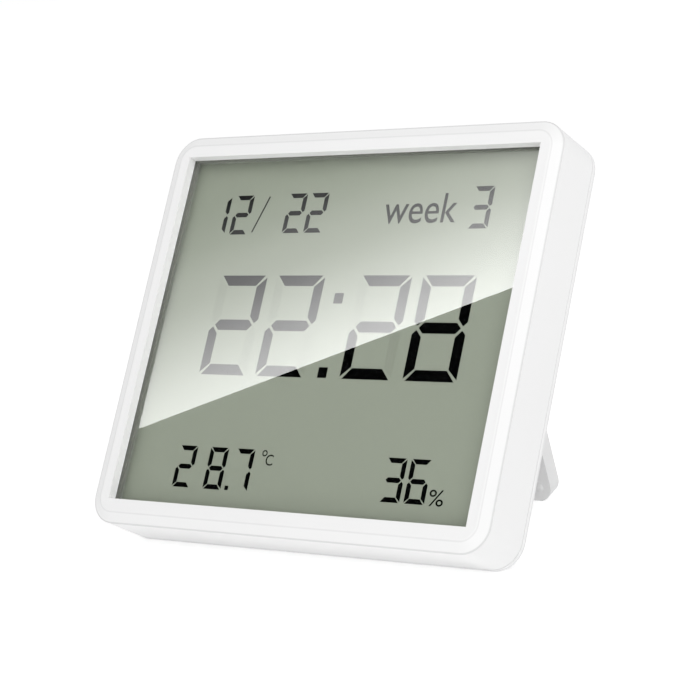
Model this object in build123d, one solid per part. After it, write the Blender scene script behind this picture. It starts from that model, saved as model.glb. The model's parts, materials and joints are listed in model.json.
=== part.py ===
# A desk display for temperature, humidity and time, with a folding stand at the back.
#
# Lengths are in millimetres and angles in degrees. The case is drawn upright: X runs to the
# viewer's right, Y runs back from the front face, and Z runs up from the middle of the case.
# At the end the case leans back until its lower back edge and the foot of the open stand
# both touch the table, at Z = 0.

import os
from math import acos, atan2, cos, degrees, hypot, radians, sin, sqrt, tan

from build123d import *

# Case
case_width = 100.0
case_height = 88.8
case_depth = 14.9
corner_radius = 6.0
side_wall = 1.6
seam_break = 0.18

# Front bezel: a flat ring, a sloping rim and the wall down to the pane
slope_width = 2.6
slope_depth = 1.15
ring_side = 2.25
ring_top = 2.45
ring_bottom = 2.6
sight_depth_share = 0.141
crease_round = 0.3
skirt_gap = 0.1
skirt_wall = 1.1
skirt_depth = 4.4
hook_length = 6.0
hook_reach = 0.5
hook_height = 0.9
hook_setback = 0.25
hook_play = 0.1
hook_places_share = (-0.27, 0.27)

# Window pane and the foam between pane and display
pane_thickness = 1.0
pane_overlap = 1.75
gasket_thickness = 0.6
gasket_width = 1.1

# Liquid crystal display
polariser_thickness = 0.2
glass_thickness = 0.55
ledge_height = 1.4
polariser_inset = 0.25

# Display holder
holder_gap = 0.1
holder_wall = 0.7
holder_plate = 0.8
holder_lead = 0.1
clip_width = 3.0
clip_thickness = 0.75
clip_barb = 0.35
clip_barb_height = 0.4
clip_play = 0.05
clip_places_share = (-0.38, 0.38)

# Display contact strip
strip_thickness = 1.1
strip_length = 70.0
strip_play = 0.05

# Main board
board_thickness = 1.0
board_inset = 1.1
board_inset_ends = 0.6
board_corner = 1.5

# Parts on the board
parts_inset = 11.0
chip_radius = 6.0
chip_height = 1.6
chip_shoulder = 1.2
chip_z = 10.0
crystal_radius = 1.0
crystal_length = 6.0
crystal_z = -2.0
capacitor_length = 1.6
capacitor_width = 0.8
capacitor_height = 0.75
capacitor_pitch = 2.4
capacitor_count = 6
capacitor_z = -9.0
sensor_size = 2.5
sensor_height = 0.9
sensor_inset = 10.1
sensor_z = -18.2
sensor_port_radius = 0.6
sensor_port_depth = 0.3

# Push switches on the board and the buttons over them
switch_size = 6.0
switch_height_share = 0.7
switch_corner = 0.6
plunger_radius = 1.75
plunger_play = 0.1
plunger_socket = 1.5
button_names = ("set", "up", "down")
button_pitch = 14.0
button_radius = 3.0
button_play = 0.15
button_flange = 0.9
button_flange_thickness = 1.02
button_recess = 0.3
button_travel = 0.35
button_dish_radius = 9.0
button_dish_depth = 0.35
button_edge_break = 0.2
button_zone_drop = 6.1

# Back cover
back_wall = 1.7
back_edge_radius = 0.75
tongue_gap = 0.1
tongue_wall = 1.0
tongue_depth = 1.4
tongue_share = 0.62
rib_wall = 0.9
rib_depth = 3.0
rib_pitch = 9.0
rib_count = 3
rib_margin = 12.4

# Cover screws in the corners
screw_inset = 4.6
post_play = 0.1
screw_radius = 0.9
screw_hole_radius = 1.15
pilot_radius = 0.95
screw_head_radius = 1.9
screw_head_height = 0.9
screw_sink_radius = 2.15
screw_sink_depth = 1.0
screw_end_gap = 1.0
pilot_floor = 0.8

# Stand and its seat in the cover
stand_width_share = 0.6
stand_thickness_share = 0.2785
stand_foot_inset = 7.35
stand_open_angle = 45.5
stand_hinge_drop = 19.45
stand_foot_radius = 4.0
stand_foot_land = 0.6
stand_edge_break = 0.3
stand_heel = 3.6
stand_skin = 1.5
stand_rim = 5.6
stand_core_drop = 9.0
stand_rib_wall = 1.2
stand_rib_count = 2
stop_gap = 0.04
hinge_pin_radius = 1.4
hinge_pin_length = 2.6
hinge_running_gap = 0.06
hinge_end_gap = 0.4
hinge_block_wall = 1.2
nub_radius = 1.0
nub_height = 0.45
nub_inset = 2.8
nub_up = 3.4
nub_play = 0.15
recess_gap = 0.25
recess_floor_gap = 0.2
recess_floor_wall = 1.1
recess_side_wall = 1.2
scoop_width = 18.0
scoop_height = 3.5
scoop_depth = 3.4
scoop_round = 2.5

# Air slots over the sensor
slot_length = 8.0
slot_width = 1.3
slot_pitch = 2.9
slot_count = 5
chamber_width = 13.0
chamber_height = 17.0
chamber_wall = 1.0
chamber_gap = 0.3

# Coin cell and the turning door
cell_radius = 10.0
cell_cap_radius = 8.9
cell_cap_step = 0.25
cell_play = 0.3
cell_end_play = 0.05
cell_z = -8.0
cup_wall = 0.9
cup_floor = 0.6
cup_lcd_gap = 0.2
cup_hole_play = 0.25
door_radius = 12.45
door_thickness = 0.55
door_floor = 0.6
door_seat_play = 0.05
door_skirt_gap = 0.15
door_skirt_wall = 0.8
lug_reach = 1.0
lug_height = 0.45
lug_angle = 24.0
lug_play_angle = 2.0
lug_count = 3
ledge_thickness = 0.6
bayonet_play = 0.15
door_turn = 40.0
coin_slot_length = 13.0
coin_slot_width = 1.8
coin_slot_depth = 0.55

# Cell contacts
contact_thickness = 0.15
contact_width = 5.0
contact_side_play = 0.2
contact_foot = 3.0

# Cuts run past the faces that they open by this much
overrun = 1.0

# Depths of the faces, all measured back from the front face
sight_depth = case_depth * sight_depth_share
pane_front = sight_depth
pane_back = pane_front + pane_thickness
gasket_back = pane_back + gasket_thickness
front_glass_front = gasket_back + polariser_thickness
front_glass_back = front_glass_front + glass_thickness
rear_glass_back = front_glass_back + glass_thickness
reflector_back = rear_glass_back + polariser_thickness
holder_front = pane_back + holder_lead
holder_back = reflector_back + holder_plate
board_front = holder_back
board_back = board_front + board_thickness
post_front = board_back + post_play
cover_seam = case_depth - back_wall
tongue_front = cover_seam - tongue_depth

# The window and the parts behind it
window_width = case_width - 2 * (slope_width + ring_side)
window_height = case_height - 2 * slope_width - ring_top - ring_bottom
window_z = (ring_bottom - ring_top) / 2
inner_width = case_width - 2 * side_wall
inner_height = case_height - 2 * side_wall
inner_radius = corner_radius - side_wall
skirt_width = inner_width - 2 * skirt_gap
skirt_height = inner_height - 2 * skirt_gap
skirt_radius = inner_radius - skirt_gap
pocket_width = skirt_width - 2 * skirt_wall
pocket_height = skirt_height - 2 * skirt_wall
pocket_radius = skirt_radius - skirt_wall
holder_width = pocket_width - 2 * holder_gap
holder_height = pocket_height - 2 * holder_gap
holder_radius = pocket_radius - holder_gap
seat_width = holder_width - 2 * holder_wall
seat_height = holder_height - 2 * holder_wall
glass_width = seat_width - 2 * holder_gap
glass_height = seat_height - 2 * holder_gap
glass_bottom = -glass_height / 2
glass_top = glass_height / 2
strip_z = glass_bottom + strip_play + strip_thickness / 2
board_width = inner_width - 2 * (skirt_gap + skirt_wall + board_inset)
board_height = inner_height - 2 * (skirt_gap + board_inset_ends)

# Small parts keep their distances from the sides of the case
chip_x = crystal_x = capacitor_x = parts_inset - case_width / 2
sensor_x = case_width / 2 - sensor_inset
rib_zone_z = rib_margin - case_height / 2

# The stand, its hinge and the seat that it folds into
stand_width = case_width * stand_width_share
stand_thickness = case_depth * stand_thickness_share
hinge_y = case_depth - stand_thickness / 2
hinge_z = case_height / 2 - stand_hinge_drop
stand_reach = hinge_z + case_height / 2 - stand_foot_inset
recess_floor = case_depth - stand_thickness - recess_floor_gap
recess_inside = recess_floor - recess_floor_wall
heel_radius = hinge_y - recess_floor - stop_gap
stand_half = stand_thickness / 2
recess_width = stand_width + 2 * recess_gap
recess_top = hinge_z + hypot(stand_half, stand_heel) + recess_gap
pan_width = recess_width + 2 * recess_side_wall

# The coin cell is held between the cup's floor and the door
cup_front = reflector_back + cup_lcd_gap
cup_inside = cup_front + cup_floor
cell_front = cup_inside + contact_thickness
door_back = recess_floor - door_seat_play
door_front = door_back - door_thickness
cell_back = door_front - door_floor
ledge_back = door_front - door_seat_play
ledge_front = ledge_back - ledge_thickness
lug_front = ledge_front - door_seat_play - lug_height
groove_front = lug_front - door_seat_play
cup_radius = cell_radius + cell_play
door_skirt_inner = cell_radius + door_skirt_gap
door_skirt_outer = door_skirt_inner + door_skirt_wall
lug_radius = door_skirt_outer + lug_reach
groove_radius = lug_radius + bayonet_play
seat_wall_radius = groove_radius + cup_wall
cup_outer = cup_radius + cup_wall

# The row of buttons lies above the stand's seat
button_z = case_height / 2 - side_wall - button_zone_drop
button_back = case_depth - button_recess
button_flange_back = cover_seam - seam_break
button_flange_front = button_flange_back - button_flange_thickness
plunger_back = button_flange_front
switch_back = board_back + switch_height_share * (plunger_back - board_back)


def resting_lean():
    """The angle at which the lower back edge and the stand's foot are level."""
    opened = radians(stand_open_angle)
    foot_y = hinge_y + stand_reach * sin(opened) - stand_half * cos(opened)
    foot_z = hinge_z - stand_reach * cos(opened) - stand_half * sin(opened)
    across = foot_y - (case_depth - back_edge_radius)
    up = foot_z + case_height / 2 - back_edge_radius
    spread = hypot(across, up)
    return degrees(acos(-back_edge_radius / spread) - atan2(across, up))


lean = resting_lean()
foot_slope = tan(radians(stand_open_angle - lean))
foot_cut = stand_foot_land * foot_slope
recess_bottom = hinge_z - stand_reach - foot_cut - recess_gap


def layer(profile, front, back):
    """A solid with that outline, from one depth behind the front face to another."""
    return extrude(Plane.XZ.offset(-back) * profile, amount=back - front)


def frame_layer(width, height, radius, wall, front, back):
    """A closed rounded wall of one thickness."""
    outside = RectangleRounded(width, height, radius)
    inside = RectangleRounded(width - 2 * wall, height - 2 * wall, radius - wall)
    return layer(outside - inside, front, back)


def block(width, height, x, z, front, back):
    """A rectangular solid centred on a place in the case."""
    return layer(Pos(x, z) * Rectangle(width, height), front, back)


def disc(radius, x, z, front, back):
    """A round solid whose axis runs front to back."""
    return layer(Pos(x, z) * Circle(radius), front, back)


def on_sides(width, height, share):
    """Places along the four sides, as (x, z, angle of the side's outward direction)."""
    places = []
    for part in share:
        places += [
            (width / 2, part * height, 0),
            (-width / 2, part * height, 180),
            (part * width, height / 2, 90),
            (part * width, -height / 2, 270),
        ]
    return places


def corners(x, z):
    """The four corner places at those distances from the middle."""
    return [(x, z), (-x, z), (-x, -z), (x, -z)]


def make_front_bezel():
    """The ring with its sloping rim, its sight wall, and a skirt with snap hooks."""
    face = RectangleRounded(
        case_width - 2 * slope_width,
        case_height - 2 * slope_width,
        corner_radius - slope_width,
    )
    full = RectangleRounded(case_width, case_height, corner_radius)
    cap = loft([Plane.XZ * face, Plane.XZ.offset(-slope_depth) * full], ruled=True)
    crease = cap.edges().filter_by_position(Axis.Y, -seam_break, seam_break)
    cap = fillet(crease, crease_round)
    lip = layer(RectangleRounded(skirt_width, skirt_height, skirt_radius), slope_depth, sight_depth)
    skirt = frame_layer(
        skirt_width, skirt_height, skirt_radius, skirt_wall, sight_depth, skirt_depth
    )
    window = block(window_width, window_height, 0, window_z, -overrun, sight_depth + overrun)
    bezel = cap + lip + skirt - window
    return bezel + snap_hooks(0, hook_setback)


def snap_hooks(play, setback):
    """Wedges round the skirt. With play added they are the pockets that they snap into."""
    back = skirt_depth - setback + play
    front = back - hook_height - 2 * play
    hooks = []
    for x, z, turn in on_sides(skirt_width, skirt_height, hook_places_share):
        reach = hook_reach + play
        wedge = Polyline(
            (-seam_break, front),
            (reach, front),
            (reach, back - hook_height / 2),
            (-seam_break, back),
            close=True,
        )
        length = hook_length + 2 * play
        solid = extrude(make_face(wedge), amount=length / 2, both=True)
        hooks.append(Pos(x, 0, z) * Rot(0, -turn, 0) * solid)
    return hooks


def make_window_pane():
    """The clear pane that lies against the back of the lip."""
    width = window_width + 2 * pane_overlap
    height = window_height + 2 * pane_overlap
    outline = Pos(0, window_z) * RectangleRounded(width, height, pocket_radius)
    return layer(outline, pane_front, pane_back)


def make_lcd_gasket():
    """A dark foam frame between the pane and the display."""
    inside = Rectangle(window_width, window_height)
    outside = Rectangle(window_width + 2 * gasket_width, window_height + 2 * gasket_width)
    return layer(Pos(0, window_z) * (outside - inside), pane_back, gasket_back)


def display_sheet(bottom, inset, front, back):
    """One sheet of the display, from a given lower edge to the glass's upper edge."""
    height = glass_top - bottom - 2 * inset
    middle = (glass_top + bottom) / 2
    return block(glass_width - 2 * inset, height, 0, middle, front, back)


def make_lcd_holder():
    """A tray round the display, with clips over the board and a hole for the cell cup."""
    wall = frame_layer(
        holder_width, holder_height, holder_radius, holder_wall, holder_front, reflector_back
    )
    outline = RectangleRounded(holder_width, holder_height, holder_radius)
    wall += layer(outline, reflector_back, holder_back)
    seat = block(seat_width, seat_height, 0, 0, holder_front - overrun, reflector_back)
    hole = disc(cup_outer + cup_hole_play, 0, cell_z, reflector_back - overrun, holder_back + overrun)
    slot = block(
        strip_length + 2 * strip_play,
        strip_thickness + 2 * strip_play,
        0,
        strip_z,
        reflector_back - overrun,
        holder_back + overrun,
    )
    return wall - seat - hole - slot + board_clips()


def board_clips():
    """Hooks at both ends of the board that hold it to the tray."""
    post_x = board_width / 2 + clip_play + clip_thickness / 2
    barb_front = board_back + clip_play
    barb_back = barb_front + clip_barb_height
    clips = []
    for side in (1, -1):
        x = side * post_x
        barb_x = side * (board_width / 2 + clip_play - clip_barb / 2)
        for part in clip_places_share:
            z = part * board_height
            clips.append(block(clip_thickness, clip_width, x, z, reflector_back, barb_back))
            clips.append(block(clip_barb, clip_width, barb_x, z, barb_front, barb_back))
    return clips


def make_zebra_strip():
    """The rubber strip that joins the display's ledge to the board."""
    return block(strip_length, strip_thickness, 0, strip_z, front_glass_back, board_front)


def make_main_board():
    """The circuit board, with a hole for the cell cup."""
    board = layer(RectangleRounded(board_width, board_height, board_corner), board_front, board_back)
    return board - disc(cup_outer + cup_hole_play, 0, cell_z, board_front - overrun, board_back + overrun)


def make_controller_chip():
    """A low round blob of resin over the bare chip."""
    blob = disc(chip_radius, chip_x, chip_z, board_back, board_back + chip_height)
    return chamfer(blob.edges().sort_by(Axis.Y)[-1], chip_shoulder)


def make_clock_crystal():
    """A small can that lies on the board, held by its two legs' end."""
    can = Cylinder(crystal_radius, crystal_length)
    return Pos(crystal_x, board_back + crystal_radius, crystal_z) * can


def make_chip_capacitors():
    """A row of small block capacitors."""
    row = []
    back = board_back + capacitor_height
    for number in range(capacitor_count):
        z = capacitor_z - number * capacitor_pitch
        row.append(block(capacitor_length, capacitor_width, capacitor_x, z, board_back, back))
    return row


def make_humidity_sensor():
    """The sensor chip, with its air port facing the slots in the cover."""
    back = board_back + sensor_height
    chip = block(sensor_size, sensor_size, sensor_x, sensor_z, board_back, back)
    return chip - disc(sensor_port_radius, sensor_x, sensor_z, back - sensor_port_depth, back + overrun)


def button_x(number):
    """Where a button of the row stands."""
    return (number - (len(button_names) - 1) / 2) * button_pitch


def make_tact_switches():
    """The switch bodies, each with a socket for its plunger."""
    bodies = []
    for number in range(len(button_names)):
        x = button_x(number)
        body = block(switch_size, switch_size, x, button_z, board_back, switch_back)
        body = chamfer(body.edges().filter_by(Axis.Y), switch_corner)
        socket_front = switch_back - plunger_socket
        socket_radius = plunger_radius + plunger_play
        socket = disc(socket_radius, x, button_z, socket_front, switch_back + overrun)
        bodies.append(body - socket)
    return bodies


def make_switch_plunger(number):
    """A switch's own short plunger."""
    front = switch_back - plunger_socket + button_travel + plunger_play
    return disc(plunger_radius, button_x(number), button_z, front, plunger_back)


def make_button(number):
    """A round button with a dished face and a flange that rests on the switch's plunger."""
    x = button_x(number)
    cap = disc(button_radius, x, button_z, button_flange_front, button_back)
    cap = chamfer(cap.edges().sort_by(Axis.Y)[-1], button_edge_break)
    flange = disc(button_radius + button_flange, x, button_z, button_flange_front, button_flange_back)
    dish_y = button_back + button_dish_radius - button_dish_depth
    dish = Pos(x, dish_y, button_z) * Sphere(button_dish_radius)
    return cap + flange - dish


def screw_places():
    """The corner places of the cover screws."""
    return corners(case_width / 2 - screw_inset, case_height / 2 - screw_inset)


def make_middle_frame():
    """The side wall, with corner posts for the screws and pockets for the bezel's hooks."""
    frame = frame_layer(case_width, case_height, corner_radius, side_wall, slope_depth, cover_seam)
    rims = frame.faces().filter_by(Axis.Y)
    frame = chamfer([edge for rim in rims for edge in rim.outer_wire().edges()], seam_break)
    frame += corner_posts()
    for x, z in screw_places():
        frame -= disc(pilot_radius, x, z, post_front + pilot_floor, cover_seam + overrun)
    return frame - snap_hooks(hook_play, hook_setback)


def corner_posts():
    """Square posts for the screws, grown into the middle of the wall at each corner."""
    width = case_width - side_wall
    height = case_height - side_wall
    inside = layer(
        RectangleRounded(width, height, corner_radius - side_wall / 2), post_front, cover_seam
    )
    size = 2 * screw_inset
    return [inside & block(size, size, x, z, post_front, cover_seam) for x, z in screw_places()]


def pie(radius, start, size):
    """A slice of a circle round the cell's axis, from a start angle through a size."""
    a, b = radians(start), radians(start + size)
    edges = Curve() + [
        Line((0, 0), (radius * cos(a), radius * sin(a))),
        CenterArc((0, 0), radius, start, size),
        Line((radius * cos(b), radius * sin(b)), (0, 0)),
    ]
    return Pos(0, cell_z) * make_face(edges)


def lug_angles():
    """The angles at which the door's lugs stand."""
    return [90 + number * 360 / lug_count for number in range(lug_count)]


def cover_plate():
    """The outside of the cover, with its rounded back edge and its locating tongue."""
    plate = layer(RectangleRounded(case_width, case_height, corner_radius), cover_seam, case_depth)
    plate = fillet(plate.faces().sort_by(Axis.Y)[-1].edges(), back_edge_radius)
    plate = chamfer(plate.faces().sort_by(Axis.Y)[0].edges(), seam_break)
    tongue_x = inner_width / 2 - tongue_gap - tongue_wall / 2
    tongue_z = inner_height / 2 - tongue_gap - tongue_wall / 2
    for side in (1, -1):
        x, z = side * tongue_x, side * tongue_z
        plate += block(tongue_wall, tongue_share * case_height, x, 0, tongue_front, cover_seam)
        plate += block(tongue_share * case_width, tongue_wall, 0, z, tongue_front, cover_seam)
    return plate


def cover_pan():
    """The closed back of the stand's seat, the hinge blocks and the wall behind the scoop."""
    top = recess_top + recess_side_wall
    bottom = recess_bottom - recess_side_wall
    pan = block(pan_width, top - bottom, 0, (top + bottom) / 2, recess_inside, cover_seam)
    reach = stand_width / 2 + hinge_pin_length + hinge_end_gap + hinge_block_wall
    half = hinge_pin_radius + hinge_running_gap + hinge_block_wall
    pan += block(2 * reach, 2 * half, 0, hinge_z, hinge_y - half, cover_seam)
    scoop_bottom = -inner_height / 2 + tongue_gap
    pan += block(
        scoop_width + 2 * recess_side_wall,
        bottom - scoop_bottom + recess_side_wall,
        0,
        (bottom + scoop_bottom + recess_side_wall) / 2,
        case_depth - scoop_depth - back_wall,
        cover_seam,
    )
    return pan


def cover_cup():
    """The outside of the cell's cup, wider where the door's lugs turn."""
    cup = disc(cup_outer, 0, cell_z, cup_front, recess_inside)
    return cup + disc(seat_wall_radius, 0, cell_z, board_back + chamber_gap, recess_inside)


def cover_chamber():
    """A walled shaft from the air slots to just above the sensor."""
    outside = Pos(sensor_x, sensor_z) * Rectangle(chamber_width, chamber_height)
    inside = Pos(sensor_x, sensor_z) * Rectangle(
        chamber_width - 2 * chamber_wall, chamber_height - 2 * chamber_wall
    )
    return layer(outside - inside, board_back + chamber_gap, cover_seam)


def cover_ribs():
    """Stiffening ribs in the side opposite the sensor."""
    inner = pan_width / 2
    outer = inner_width / 2 - tongue_gap
    ribs = []
    for number in range(rib_count):
        z = rib_zone_z + number * rib_pitch
        ribs.append(
            block(outer - inner, rib_wall, -(inner + outer) / 2, z, cover_seam - rib_depth, cover_seam)
        )
    return ribs


def stand_seat():
    """The recess that the folded stand fills, with its finger scoop and nub dimples."""
    height = recess_top - recess_bottom
    middle = (recess_top + recess_bottom) / 2
    seat = block(recess_width, height, 0, middle, recess_floor, case_depth + overrun)
    low = seat.edges().filter_by(Axis.Y).group_by(Axis.Z)[0]
    seat = fillet(low, stand_foot_radius + recess_gap)
    scoop = block(
        scoop_width,
        scoop_height + stand_foot_radius,
        0,
        recess_bottom - scoop_height / 2 + stand_foot_radius / 2,
        case_depth - scoop_depth,
        case_depth + overrun,
    )
    scoop = fillet(scoop.edges().filter_by(Axis.Y).group_by(Axis.Z)[0], scoop_round)
    hole_length = stand_width + 2 * (hinge_pin_length + hinge_end_gap)
    hinge_hole = Rot(0, 90, 0) * Cylinder(hinge_pin_radius + hinge_running_gap, hole_length)
    return [seat, scoop, Pos(0, hinge_y, hinge_z) * hinge_hole] + nub_dimples()


def nub_dimples():
    """Square sinks in the seat's floor that the stand's nubs snap into."""
    size = 2 * (nub_radius + nub_play)
    front = hinge_y - stand_half - nub_height - nub_play
    z = hinge_z - stand_reach + nub_up
    return [block(size, size, x, z, front, recess_floor + overrun) for x in nub_x()]


def nub_x():
    """The two nubs' distances across the case."""
    return [side * (stand_width / 2 - nub_inset) for side in (1, -1)]


def door_seat():
    """The stepped bore for the cell and the door, with the lugs' ways in and their groove."""
    play = bayonet_play
    cuts = [
        disc(door_radius + play, 0, cell_z, ledge_back, recess_floor + overrun),
        disc(door_skirt_outer + play, 0, cell_z, groove_front, ledge_back + overrun),
        disc(cup_radius, 0, cell_z, cup_inside, ledge_back),
    ]
    half = lug_angle / 2 + lug_play_angle
    for angle in lug_angles():
        groove = pie(groove_radius, angle - door_turn - half, door_turn + 2 * half)
        entry = pie(groove_radius, angle - door_turn - half, 2 * half)
        cuts.append(layer(groove, groove_front, ledge_front))
        cuts.append(layer(entry, groove_front, ledge_back + overrun))
    return cuts


def contact_slots():
    """The cuts in the cup's wall that let the two contacts through."""
    width = contact_width + 2 * contact_side_play
    length = 2 * (cup_outer - cup_radius + cell_play)
    minus = block(length, width, cup_radius, cell_z, cup_inside, board_back + 2 * contact_thickness)
    plus = block(length, width, -cup_radius, cell_z, board_back - contact_thickness, groove_front)
    return [minus, plus]


def cover_holes():
    """The holes for the buttons, the air and the screws."""
    holes = []
    for number in range(len(button_names)):
        radius = button_radius + button_play
        holes.append(disc(radius, button_x(number), button_z, cover_seam - overrun, case_depth + overrun))
    for number in range(slot_count):
        z = sensor_z + (number - (slot_count - 1) / 2) * slot_pitch
        front, back = cover_seam - overrun, case_depth + overrun
        holes.append(block(slot_length, slot_width, sensor_x, z, front, back))
    for x, z in screw_places():
        holes.append(disc(screw_hole_radius, x, z, cover_seam - overrun, case_depth + overrun))
        holes.append(disc(screw_sink_radius, x, z, case_depth - screw_sink_depth, case_depth + overrun))
    return holes


def make_back_cover():
    """The back cover with everything that is moulded into it."""
    cover = cover_plate() + cover_pan() + cover_cup() + cover_chamber() + cover_ribs()
    return cover - stand_seat() - door_seat() - contact_slots() - cover_holes()


def make_cover_screws():
    """The four screws of the back cover, without their threads."""
    seat = case_depth - screw_sink_depth
    tip = post_front + pilot_floor + screw_end_gap
    screws = []
    for x, z in screw_places():
        head = disc(screw_head_radius, x, z, seat, seat + screw_head_height)
        screws.append(head + disc(screw_radius, x, z, tip, seat))
    return screws


def nub_ball_radius():
    """The radius of the ball of which a nub is the cap."""
    return (nub_radius**2 + nub_height**2) / (2 * nub_height)


def nub_places():
    """The centres of the nubs' balls with the stand folded."""
    y = hinge_y - stand_half - nub_height + nub_ball_radius()
    z = hinge_z - stand_reach + nub_up
    return [Pos(x, y, z) for x in nub_x()]


def stand_side_outline():
    """The stand seen from its side: a plate, a round knuckle and the flat heel that stops it."""
    opened = radians(stand_open_angle)
    outer, inner = hinge_y + stand_half, hinge_y - stand_half
    foot = hinge_z - stand_reach
    knuckle = sqrt(heel_radius**2 - stand_half**2)
    heel_start = (hinge_y - heel_radius * cos(opened), hinge_z + heel_radius * sin(opened))
    heel_run = (hinge_z + stand_heel - heel_start[1]) / cos(opened)
    heel_end = (heel_start[0] + heel_run * sin(opened), hinge_z + stand_heel)
    plate = Polyline(
        heel_end,
        (outer, hinge_z + stand_heel),
        (outer, foot - foot_cut),
        (inner, foot - foot_cut),
        (inner, hinge_z - knuckle),
    )
    round_part = ThreePointArc((inner, hinge_z - knuckle), (hinge_y - heel_radius, hinge_z), heel_start)
    return make_face(Curve() + [plate, round_part, Line(heel_start, heel_end)])


def below_table():
    """The wedge under the foot's front edge that would sink into the table."""
    inner, foot = hinge_y - stand_half, hinge_z - stand_reach
    reach = stand_foot_land + overrun
    wedge = Polyline(
        (inner - overrun, foot + overrun * foot_slope),
        (inner + reach, foot - reach * foot_slope),
        (inner - overrun, foot - reach * foot_slope),
        close=True,
    )
    return extrude(Plane.YZ * make_face(wedge), amount=stand_width, both=True)


def stand_cores():
    """The hollows on the hidden side of the stand, with ribs left between them."""
    low = hinge_z - stand_reach + stand_rim
    high = hinge_z - stand_core_drop
    width = stand_width - 2 * stand_rim
    bay = (width - stand_rib_count * stand_rib_wall) / (stand_rib_count + 1)
    front = hinge_y - stand_half - overrun
    back = hinge_y + stand_half - stand_skin
    cores = []
    for number in range(stand_rib_count + 1):
        x = (number - stand_rib_count / 2) * (bay + stand_rib_wall)
        core = block(bay, high - low, x, (low + high) / 2, front, back)
        cores.append(chamfer(core.edges().filter_by(Axis.Y), stand_rib_wall))
    return cores


def folded_stand():
    """The stand as it lies in its seat."""
    stand = extrude(Plane.YZ * stand_side_outline(), amount=stand_width / 2, both=True)
    foot_edges = stand.faces().sort_by(Axis.Z)[0].edges().filter_by(Axis.X, reverse=True)
    stand = fillet(foot_edges, stand_foot_radius)
    stand = chamfer(stand.faces().sort_by(Axis.Y)[-1].edges(), stand_edge_break)
    stand -= below_table()
    stand -= stand_cores()
    pin = Rot(0, 90, 0) * Cylinder(hinge_pin_radius, stand_width + 2 * hinge_pin_length)
    stand += Pos(0, hinge_y, hinge_z) * pin
    return stand + [place * Sphere(nub_ball_radius()) for place in nub_places()]


def make_stand():
    """The stand, opened until its heel lies flat on the seat's floor."""
    hinge = Pos(0, hinge_y, hinge_z)
    return hinge * Rot(stand_open_angle, 0, 0) * hinge.inverse() * folded_stand()


def make_coin_cell():
    """A coin cell with its smaller negative face towards the display."""
    can = disc(cell_radius, 0, cell_z, cell_front + cell_cap_step, cell_back)
    return can + disc(cell_cap_radius, 0, cell_z, cell_front, cell_front + cell_cap_step)


def make_cell_contact_negative():
    """A bent strip that lies under the cell and comes up to the board."""
    outside = board_hole_radius() + contact_foot
    leg_inner = cup_radius + contact_thickness
    strip = strip_block(-cell_cap_radius / 2, leg_inner + contact_thickness, cup_inside, cell_front)
    back = board_back + contact_thickness
    strip += strip_block(leg_inner, leg_inner + contact_thickness, cup_inside, back)
    return strip + strip_block(leg_inner, outside, board_back, back)


def make_cell_contact_positive():
    """A bent strip that stands on the board and bears on the cell's rim."""
    outside = board_hole_radius() + contact_foot
    leg_inner = cup_radius + contact_thickness
    leg_outer = leg_inner + contact_thickness
    top = groove_front - contact_side_play
    strip = strip_block(-outside, -leg_inner, board_back, board_back + contact_thickness)
    strip += strip_block(-leg_outer, -leg_inner, board_back, top)
    return strip + strip_block(-leg_outer, -cell_radius, top - 2 * contact_thickness, top)


def board_hole_radius():
    """The radius of the hole round the cell's cup."""
    return cup_outer + cup_hole_play


def strip_block(left, right, front, back):
    """A stretch of contact strip at the height of the cell's axis."""
    return block(right - left, contact_width, (left + right) / 2, cell_z, front, back)


def make_battery_door():
    """The round door: a disc, a skirt round the cell, turning lugs and a coin slot."""
    door = disc(door_radius, 0, cell_z, door_front, door_back)
    door += disc(door_skirt_outer, 0, cell_z, lug_front, door_front)
    for angle in lug_angles():
        lug = pie(lug_radius, angle - lug_angle / 2, lug_angle)
        door += layer(lug, lug_front, lug_front + lug_height)
    door -= disc(door_skirt_inner, 0, cell_z, lug_front - overrun, cell_back + cell_end_play)
    slot = Pos(0, cell_z) * SlotOverall(coin_slot_length, coin_slot_width)
    return door - layer(slot, door_back - coin_slot_depth, door_back + overrun)


def make_pieces():
    """Every piece by name, in the upright case's own place."""
    pieces = {
        "front_bezel": make_front_bezel(),
        "window_pane": make_window_pane(),
        "lcd_gasket": make_lcd_gasket(),
        "lcd_front_polariser": display_sheet(
            glass_bottom + ledge_height, polariser_inset, gasket_back, front_glass_front
        ),
        "lcd_front_glass": display_sheet(glass_bottom, 0, front_glass_front, front_glass_back),
        "lcd_rear_glass": display_sheet(
            glass_bottom + ledge_height, 0, front_glass_back, rear_glass_back
        ),
        "lcd_reflector": display_sheet(
            glass_bottom + ledge_height, polariser_inset, rear_glass_back, reflector_back
        ),
        "lcd_holder": make_lcd_holder(),
        "zebra_strip": make_zebra_strip(),
        "main_board": make_main_board(),
        "controller_chip": make_controller_chip(),
        "clock_crystal": make_clock_crystal(),
        "chip_capacitors": make_chip_capacitors(),
        "humidity_sensor": make_humidity_sensor(),
        "tact_switches": make_tact_switches(),
        "middle_frame": make_middle_frame(),
        "back_cover": make_back_cover(),
        "cover_screws": make_cover_screws(),
        "coin_cell": make_coin_cell(),
        "cell_contact_negative": make_cell_contact_negative(),
        "cell_contact_positive": make_cell_contact_positive(),
        "battery_door": make_battery_door(),
        "stand": make_stand(),
    }
    for number, name in enumerate(button_names):
        pieces[name + "_button"] = make_button(number)
        pieces["switch_plunger_" + name] = make_switch_plunger(number)
    return pieces


def as_shape(made):
    """One shape for a piece, also where it is a group of like solids."""
    return Part() + made if isinstance(made, list) else made


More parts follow.
